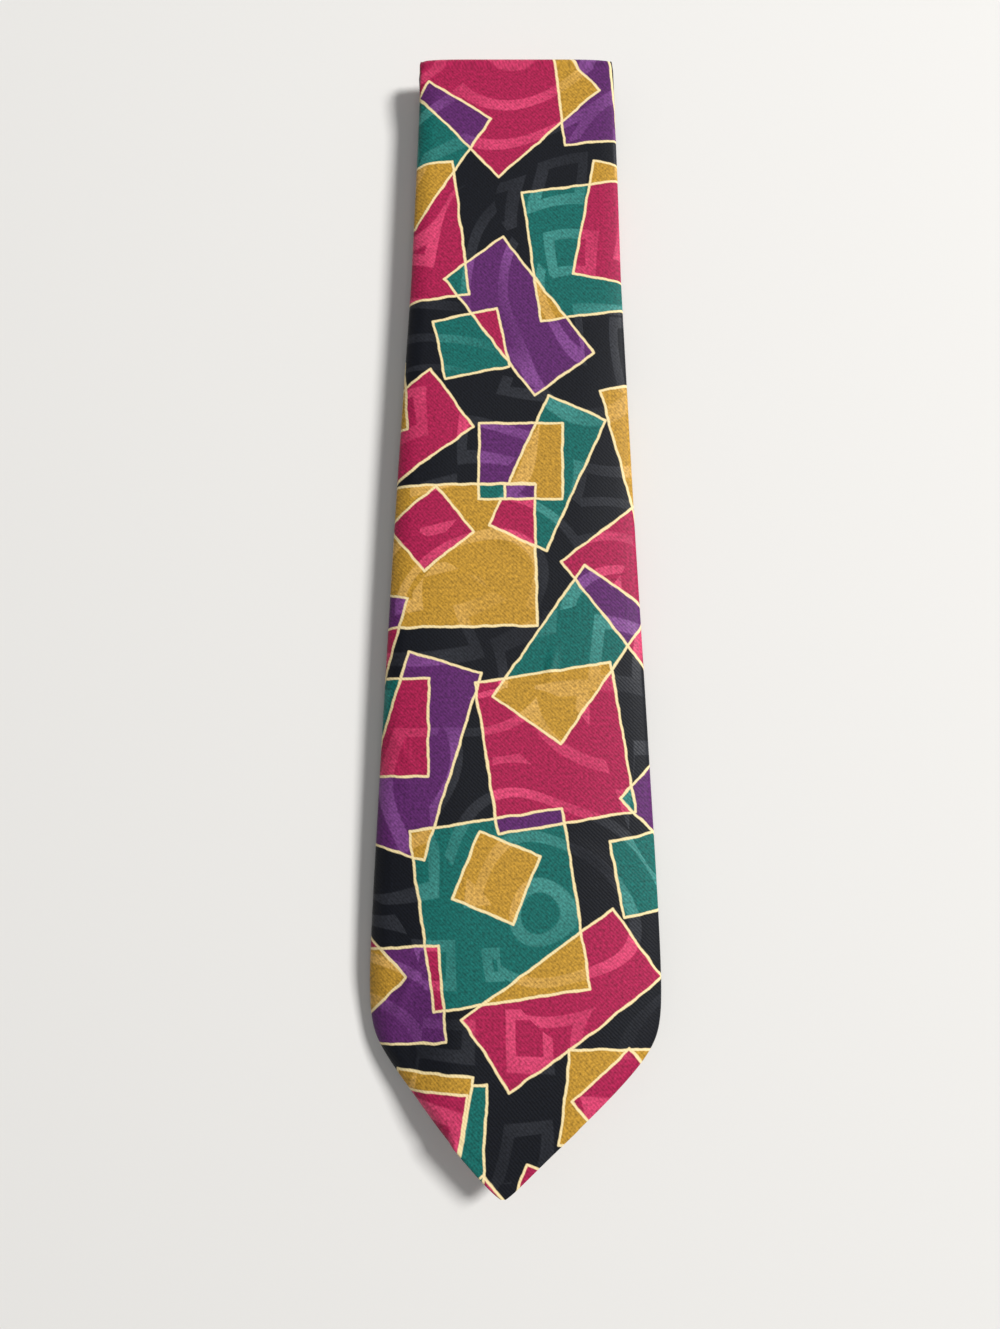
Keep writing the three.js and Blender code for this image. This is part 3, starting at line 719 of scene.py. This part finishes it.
canvas = canvas_material()
for leaf, start, end, counts, crowd in (
    (front, CANVAS_TIP, front.end, (60, 180), TIP_CROWD),
    (second, second.start, second.end, (16, 60), 1),
    (neck, neck.start, neck.end, (16, 60), 1),
    (tail, tail.start, RUN - CANVAS_TIP, (24, 90), 1 / TIP_CROWD),
):
    piece = inner_leaf(f"canvas_{leaf.body}", leaf, start, end, CANVAS, canvas, counts, crowd)
    fasten(piece, leaf.body, f"{leaf.name}_interlining")
for fold in FOLDS:
    name = f"canvas_{fold.name}"
    piece = fold_layer(name, fold, CANVAS_FOLD_COLUMNS, canvas_across, (0, 0), canvas, CANVAS.thick)
    bend(piece)
    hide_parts(f"{fold.name}_interlining")


# -------- tipping
# Black satin lines the back of both tips. It is slipped under the hem of the silk and shows in the opening
# between the two flaps.

TIPPING = SimpleNamespace(depth=1.38, thick=0.14, inset=2.4)
TIPPING_TIP = 3.2  # it stops this far short of a tip
TIPPING_PAST_TACK = 26


def satin_material():
    """Satin lining: near black, with long soft highlights and fine warp threads along the tie."""
    material, tree, place = cloth_material("black satin lining")
    warp = add(tree, "VectorMath MULTIPLY", (place, (2.2, 0.08, 1)))
    yarn = add(tree, "TexNoise", {"Vector": warp, "Scale": 1.0, "Detail": 3.0})
    colour = add(tree, "Mix", {0: yarn, 6: srgb("#0D0E12"), 7: srgb("#25262C")}, 2, data_type="RGBA")
    rough = add(tree, "Math MULTIPLY_ADD", (yarn, 0.14, 0.3))
    bump = add(tree, "Bump", {"Height": yarn, "Strength": 0.35, "Distance": 0.0001})
    surface = {"Base Color": colour, "Roughness": rough, "Normal": bump, "Sheen Weight": 0.15}
    add(tree, "OutputMaterial", (add(tree, "BsdfPrincipled", surface),))
    return material


satin = satin_material()
for leaf, start, end, counts, crowd in (
    (front, TIPPING_TIP, BLADE_TACK + TIPPING_PAST_TACK, (60, 110), TIP_CROWD),
    (tail, RUN - TAIL_TACK - TIPPING_PAST_TACK, RUN - TIPPING_TIP, (24, 60), 1 / TIP_CROWD),
):
    piece = inner_leaf(f"satin_{leaf.name}_tipping", leaf, start, end, TIPPING, satin, counts, crowd)
    fasten(piece, leaf.body, f"{leaf.name}_tipping")


# -------- slip stitch
# One loose silk thread, worked by hand through the two flaps from tack to tack, closes the back. It lies
# between the flaps, so it shows only at their ends.

THREAD_RADIUS, THREAD_SIDES = 0.125, 6
THREAD_DEPTH = 2.15
TWIST_STEP = 0.3  # length of twist drawn between two points of a thread, whatever their distance
STEEP = 0.9
STITCH_SWAY, STITCH_PITCH = 0.9, 9  # from flap to flap, and how often
STITCH_EASE = 4  # at the folds it is back in the middle
STITCH_STEP = 1.5
STITCH_START = 3  # the thread starts this far past a tack, where the flaps already lap
FOLD_STEPS = 16


def thread_material():
    """Twisted silk thread: near black, with a painted highlight on each turn of the twist."""
    material, tree, place = cloth_material("twisted silk thread")
    x, y, _ = add(tree, "SeparateXYZ", (place,), None)
    phase = add(tree, "Math MULTIPLY", (x, 8.0))
    phase = add(tree, "Math MULTIPLY_ADD", (y, 9.0, phase))
    twist = add(tree, "Math SINE", (phase,))
    twist = add(tree, "Math MULTIPLY_ADD", (twist, 0.5, 0.5))
    # Painted highlight: the colour is lighter on each turn of the twist
    colour = add(tree, "Mix", {0: twist, 6: srgb("#131419"), 7: srgb("#34353C")}, 2, data_type="RGBA")
    bump = add(tree, "Bump", {"Height": twist, "Strength": 0.5, "Distance": 0.00005})
    surface = {"Base Color": colour, "Roughness": 0.42, "Normal": bump, "Sheen Weight": 0.2}
    add(tree, "OutputMaterial", (add(tree, "BsdfPrincipled", surface),))
    return material


thread = thread_material()


def add_thread(shape, cloth, line, radius):
    """Adds a thread along a line of points, in metres, closed at both ends."""
    ahead = [b - a for a, b in zip(line, line[1:])]
    ahead.append(ahead[-1])
    rings = []
    for point, way in zip(line, ahead):
        way = way.normalized()
        side = way.cross(Vector((0, 0, 1)) if abs(way.z) < STEEP else Vector((1, 0, 0))).normalized()
        up = side.cross(way)
        ring = bmesh.ops.create_circle(shape, segments=THREAD_SIDES, radius=radius * MM)["verts"]
        for number, corner in enumerate(ring):
            turn = 2 * math.pi * number / THREAD_SIDES
            corner.co = point + (side * math.cos(turn) + up * math.sin(turn)) * radius * MM
        rings.append(ring)
    for number, (near, far) in enumerate(zip(rings, rings[1:])):
        for a in range(THREAD_SIDES):
            b = (a + 1) % THREAD_SIDES
            face = shape.faces.new((near[a], near[b], far[b], far[a]))
            face.smooth = True
            for loop, (turned, gone) in zip(face.loops, ((a, 0), (a + 1, 0), (a + 1, 1), (a, 1))):
                around = turned / THREAD_SIDES * 2 * radius
                loop[cloth].uv = (around * MM, (number + gone) * TWIST_STEP * MM)
    shape.faces.new(reversed(rings[0]))
    shape.faces.new(rings[-1])


def thread_piece(name, node, lines, radius=THREAD_RADIUS):
    """One piece made of one or more threads."""
    shape = bmesh.new()
    cloth = shape.loops.layers.uv.new("cloth")
    for line in lines:
        add_thread(shape, cloth, line, radius)
    bmesh.ops.recalc_face_normals(shape, faces=shape.faces)
    piece = link_piece(name, shape, thread)
    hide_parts(node)
    return piece


for leaf, start, end in (
    (front, BLADE_TACK + STITCH_START, front.end),
    (second, second.start, second.end),
    (neck, neck.start, neck.end),
    (tail, tail.start, RUN - TAIL_TACK - STITCH_START),
):
    steps = round((end - start) / STITCH_STEP)
    line = []
    for step in range(steps + 1):
        run = start + (end - start) * step / steps
        aside = STITCH_SWAY * math.sin(2 * math.pi * (run - leaf.start) / STITCH_PITCH)
        ease = smooth((run - leaf.start) / STITCH_EASE) * smooth((leaf.end - run) / STITCH_EASE)
        line.append(lay(leaf, aside * ease, run, THREAD_DEPTH))
    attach(thread_piece(f"thread_{leaf.body}", f"{leaf.name}_slip_stitch", [line]), leaf.body)
for fold in FOLDS:
    radius = fold_radius(fold, THREAD_DEPTH)
    line = [lay_fold(fold, 0, step / FOLD_STEPS, radius) for step in range(FOLD_STEPS + 1)]
    bend(thread_piece(f"thread_{fold.name}", f"{fold.name}_slip_stitch", [line]))


# -------- bias seams
# The neck piece is machine sewn to the blade and to the tail on the bias. From outside, each seam is a fine
# groove with its thread just showing, running slantwise round the neck.

SEAM_RADIUS = 0.11
for name, seam in (("blade_seam", blade_seam), ("tail_seam", tail_seam)):
    line = []
    for column in silk_columns(*SLIM):
        run = seam + BIAS * silk_across(column, seam)[2]
        x, depth, flat = silk_across(column, run)
        line.append(lay(neck, x, run, depth))
    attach(thread_piece(f"thread_{name}", f"{name}_thread", [line], SEAM_RADIUS), neck.body)


# -------- bar tacks
# Where the back seam starts, a bar tack of a few long stitches, wrapped closely by short ones, holds the two
# flaps against the pull of the hand.

TACK_RADIUS = 0.13
TACK_STEPS = 8
STRANDS = (-0.5, 0, 0.5)  # places of the long stitches across the tack, from -1 to 1
WRAPS, WRAP_INSET = 15, 0.4
WRAP_LEAN, WRAP_ROUND = 0.2, 0.22

for leaf in (front, tail):
    low, high = box_mm(f"{leaf.name}_bar_tack")
    middle = (low + high) / 2
    half = (high - low) / 2
    run = leaf.start + leaf.way * (middle.y - leaf.y0)
    depth = leaf.up * (leaf.face - middle.z)
    ways = [2 * step / TACK_STEPS - 1 for step in range(TACK_STEPS + 1)]  # from -1 to 1 along a stitch
    lines = []
    for strand in STRANDS:
        lines.append([lay(leaf, half.x * way, run + strand * half.y, depth) for way in ways])
    for wrap in range(WRAPS):
        x = (2 * wrap / (WRAPS - 1) - 1) * (half.x - WRAP_INSET)
        line = []
        for way in ways:
            turn = math.pi * (way + 1) / 2
            aside, up = half.y * math.cos(turn), WRAP_ROUND * math.sin(turn)
            line.append(lay(leaf, x + WRAP_LEAN * way, run - aside, depth + up))
        lines.append(line)
    tack = thread_piece(f"thread_{leaf.name}_bar_tack", f"{leaf.name}_bar_tack", lines, TACK_RADIUS)
    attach(tack, leaf.body)


# -------- label
# A band of damask woven satin across the back of the blade, with a lighter border and no lettering. Its two
# ends are sewn down, so that it can also serve as a keeper.

LABEL_BORDER, BORDER_LINE = (27.0, 10.2, 0), 0.35  # from the middle to the border, and half of its width
LABEL_RIB = 0.6


def band_on_back(name, node, leaf, counts, material, slot, profile=None, thick=None):
    """A flat band sewn on the back of a leaf, inside its solid of the frame. profile lifts its middle."""
    low, high = box_mm(node)
    middle = (low + high) / 2
    columns, rows = counts

    def place(column, row):
        x = low.x + (high.x - low.x) * column / columns
        y = low.y + (high.y - low.y) * row / rows
        run = leaf.start + leaf.way * (y - leaf.y0)
        depth = profile(x) if profile else leaf.up * (leaf.face - middle.z)
        return lay(leaf, x, run, depth), (x * MM, (y - middle.y) * MM)

    piece = cloth_grid(name, columns, rows, place, material, thick or high.z - low.z)
    fasten(piece, leaf.body, node)


def label_material():
    """Damask label: blue-black satin, a pale woven border line and a finely ribbed ground."""
    material, tree, place = cloth_material("woven damask label")
    away = add(tree, "VectorMath ABSOLUTE", (place,))
    away = add(tree, "VectorMath SUBTRACT", (away, LABEL_BORDER))
    x, y, _ = add(tree, "SeparateXYZ", (away,), None)
    border = add(tree, "Math MAXIMUM", (x, y))
    border = add(tree, "Math ABSOLUTE", (border,))
    border = add(tree, "Math LESS_THAN", (border, BORDER_LINE))
    _, y, _ = add(tree, "SeparateXYZ", (place,), None)
    ribs = add(tree, "Math MULTIPLY", (y, 2 * math.pi / LABEL_RIB))
    ribs = add(tree, "Math SINE", (ribs,))
    yarn = add(tree, "TexNoise", {"Vector": place, "Scale": 1.6, "Detail": 3.0})
    ground = add(tree, "Mix", {0: yarn, 6: srgb("#0E1119"), 7: srgb("#232836")}, 2, data_type="RGBA")
    colour = add(tree, "Mix", {0: border, 6: ground, 7: srgb("#B9A46A")}, 2, data_type="RGBA")
    height = add(tree, "Math MULTIPLY_ADD", (ribs, 0.4, border))
    bump = add(tree, "Bump", {"Height": height, "Strength": 0.5, "Distance": 0.00008})
    surface = {"Base Color": colour, "Roughness": 0.38, "Normal": bump, "Sheen Weight": 0.15}
    add(tree, "OutputMaterial", (add(tree, "BsdfPrincipled", surface),))
    return material


band_on_back("woven_label", "label", front, (40, 16), label_material(), "label_satin")


# -------- keeper loop
# A narrow band of the shell's own silk, folded double, behind the label. Both feet are sewn to the back and
# the middle stands clear, so that the tail can be passed through it.

KEEPER_THICK = 0.33
KEEPER_FOOT, KEEPER_RAMP = 7, 5  # length of each foot, and of the slope up from it
KEEPER_REST = LEAF + 0.15 + KEEPER_THICK / 2
KEEPER_STAND = 0.3
keeper_end = box_mm("keeper_loop")[1].x


def keeper_depth(x):
    """The feet lie on the back, and the band rises from them to the middle."""
    return KEEPER_REST + KEEPER_STAND * smooth((keeper_end - KEEPER_FOOT - abs(x)) / KEEPER_RAMP)


band = ("silk_keeper_loop", "keeper_loop", front, (56, 10), silk, "printed_silk")
band_on_back(*band, profile=keeper_depth, thick=KEEPER_THICK)


# -------- care label
# A small blank tape of white taffeta behind the tail, held by one row of stitches along its upper edge.

TAPE_RIB = 0.5


def tape_material():
    """Taffeta tape: off white, with fine ribs across and a low sheen."""
    material, tree, place = cloth_material("white taffeta tape")
    _, y, _ = add(tree, "SeparateXYZ", (place,), None)
    ribs = add(tree, "Math MULTIPLY", (y, 2 * math.pi / TAPE_RIB))
    ribs = add(tree, "Math SINE", (ribs,))
    soil = add(tree, "TexNoise", {"Vector": place, "Scale": 0.5, "Detail": 4.0})
    colour = add(tree, "Mix", {0: soil, 6: srgb("#D9D3C2"), 7: srgb("#F1EEE4")}, 2, data_type="RGBA")
    bump = add(tree, "Bump", {"Height": ribs, "Strength": 0.4, "Distance": 0.00006})
    surface = {"Base Color": colour, "Roughness": 0.6, "Normal": bump, "Sheen Weight": 0.1}
    add(tree, "OutputMaterial", (add(tree, "BsdfPrincipled", surface),))
    return material


band_on_back("taffeta_care_label", "care_label", tail, (12, 10), tape_material(), "care_tape")


# -------- stitches of label, keeper and care label
# Rows of short machine stitches in black silk. Each stitch dips into the cloth at both ends.

STITCH_LONG, STITCH_ROOM, STITCH_END = 1.7, 0.55, 0.25  # its length, what is left between two, and its ends
STITCH_DIP, STITCH_RADIUS, STITCH_STEPS = 0.14, 0.12, 6

for node, leaf in (
    ("label_stitches_left", front),
    ("label_stitches_right", front),
    ("keeper_stitches_left", front),
    ("keeper_stitches_right", front),
    ("care_label_stitches", tail),
):
    low, high = box_mm(node)
    middle = (low + high) / 2
    across_tie = leaf is tail
    first, last = (low.x, high.x) if across_tie else (low.y, high.y)
    count = round((last - first) / (STITCH_LONG + STITCH_ROOM))
    pitch = (last - first) / count
    lines = []
    for number in range(count):
        line = []
        for step in range(STITCH_STEPS + 1):
            share = step / STITCH_STEPS
            at = first + pitch * number + STITCH_END + share * (pitch - 2 * STITCH_END)
            depth = leaf.up * (leaf.face - middle.z) - STITCH_DIP * (2 * share - 1) ** 4
            x, y = (at, middle.y) if across_tie else (middle.x, at)
            line.append(lay(leaf, x, leaf.start + leaf.way * (y - leaf.y0), depth))
        lines.append(line)
    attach(thread_piece(f"thread_{node}", node, lines, STITCH_RADIUS), leaf.body)


# -------- the cloths as they were cut
# The area of every length of cloth as it lay flat, before it was rolled and folded, is added up.


def declare(name):
    """Adds up the area of a cloth's flat places, in square metres; the sum is not kept."""
    piece = bpy.data.objects[name]
    flat = [corner.vector for corner in piece.data.uv_layers["cloth"].uv]
    area = 0
    for face in piece.data.polygons:
        corners = [flat[loop] for loop in face.loop_indices]
        pairs = zip(corners, corners[1:] + corners[:1])
        area += abs(sum(a.x * b.y - b.x * a.y for a, b in pairs)) / 2


declare("silk_front_leaf")
declare("silk_second_leaf")
declare("silk_blade_neck_end")
declare("silk_neck_piece")
declare("silk_tail_neck_end")
declare("silk_tail_leaf")
declare("canvas_front_leaf")
declare("canvas_second_leaf")
declare("canvas_neck_leaf")
declare("canvas_tail_leaf")
declare("satin_front_tipping")
declare("satin_tail_tipping")
for name, carrier, stitches in (
    ("woven_label", "silk_front_leaf", ("label_stitches_left", "label_stitches_right")),
    ("silk_keeper_loop", "silk_front_leaf", ("keeper_stitches_left", "keeper_stitches_right")),
    ("taffeta_care_label", "silk_tail_leaf", ("care_label_stitches",)),
):
    declare(name)


# -------- floor, light and camera
# A plain pale floor under the tie, a large soft light from the upper right, which leaves a soft shadow on the
# left, a weak fill, and a camera that looks almost straight down. Their sizes are in metres.

FLOOR_HALF = 12.0


def floor_material():
    """Matt paper: pale and even."""
    material = bpy.data.materials.new("matt pale floor")
    material.use_nodes = True
    shader = material.node_tree.nodes["Principled BSDF"]
    shader.inputs["Base Color"].default_value = srgb("#E4E2DE")
    shader.inputs["Roughness"].default_value = 0.9
    return material


ground = bmesh.new()
bmesh.ops.create_grid(ground, x_segments=2, y_segments=2, size=FLOOR_HALF)
link_piece("floor", ground, floor_material())


def area_light(name, place, size, power):
    """A square soft light aimed at the tie."""
    lamp = bpy.data.lights.new(name, "AREA")
    lamp.size = size
    lamp.energy = power
    holder = bpy.data.objects.new(name, lamp)
    holder.location = place
    holder.rotation_euler = (-Vector(place)).to_track_quat("-Z", "Y").to_euler()
    bpy.context.scene.collection.objects.link(holder)


area_light("key", (2.7, 1.1, 2.9), 1.0, 195.0)
area_light("top", (0.0, -0.6, 4.2), 2.5, 24.0)

world = bpy.data.worlds.new("studio")
world.use_nodes = True
world.node_tree.nodes["Background"].inputs[0].default_value = srgb("#F2F3F6")
world.node_tree.nodes["Background"].inputs[1].default_value = 0.2
bpy.context.scene.world = world
bpy.context.scene.view_settings.view_transform = "Standard"

SENSOR = 36  # height of the sensor in millimetres
PICTURE_HIGH, FOCAL = 1329, 1000  # height of the picture and focal length, in the same unit
CAMERA_X, CAMERA_Y, CAMERA_HIGH = -0.0048, -0.0606, 0.325  # its height is above the printed face
CAMERA_TILT = 6.5  # degrees off straight down
camera_data = bpy.data.cameras.new("camera")
camera_data.sensor_fit = "VERTICAL"
camera_data.sensor_height = SENSOR
camera_data.lens = SENSOR * FOCAL / PICTURE_HIGH
camera = bpy.data.objects.new("camera", camera_data)
camera.location = (CAMERA_X, CAMERA_Y, CAMERA_HIGH + front_high.z * MM)
camera.rotation_euler = (math.radians(CAMERA_TILT), 0, 0)
bpy.context.scene.collection.objects.link(camera)
bpy.context.scene.camera = camera
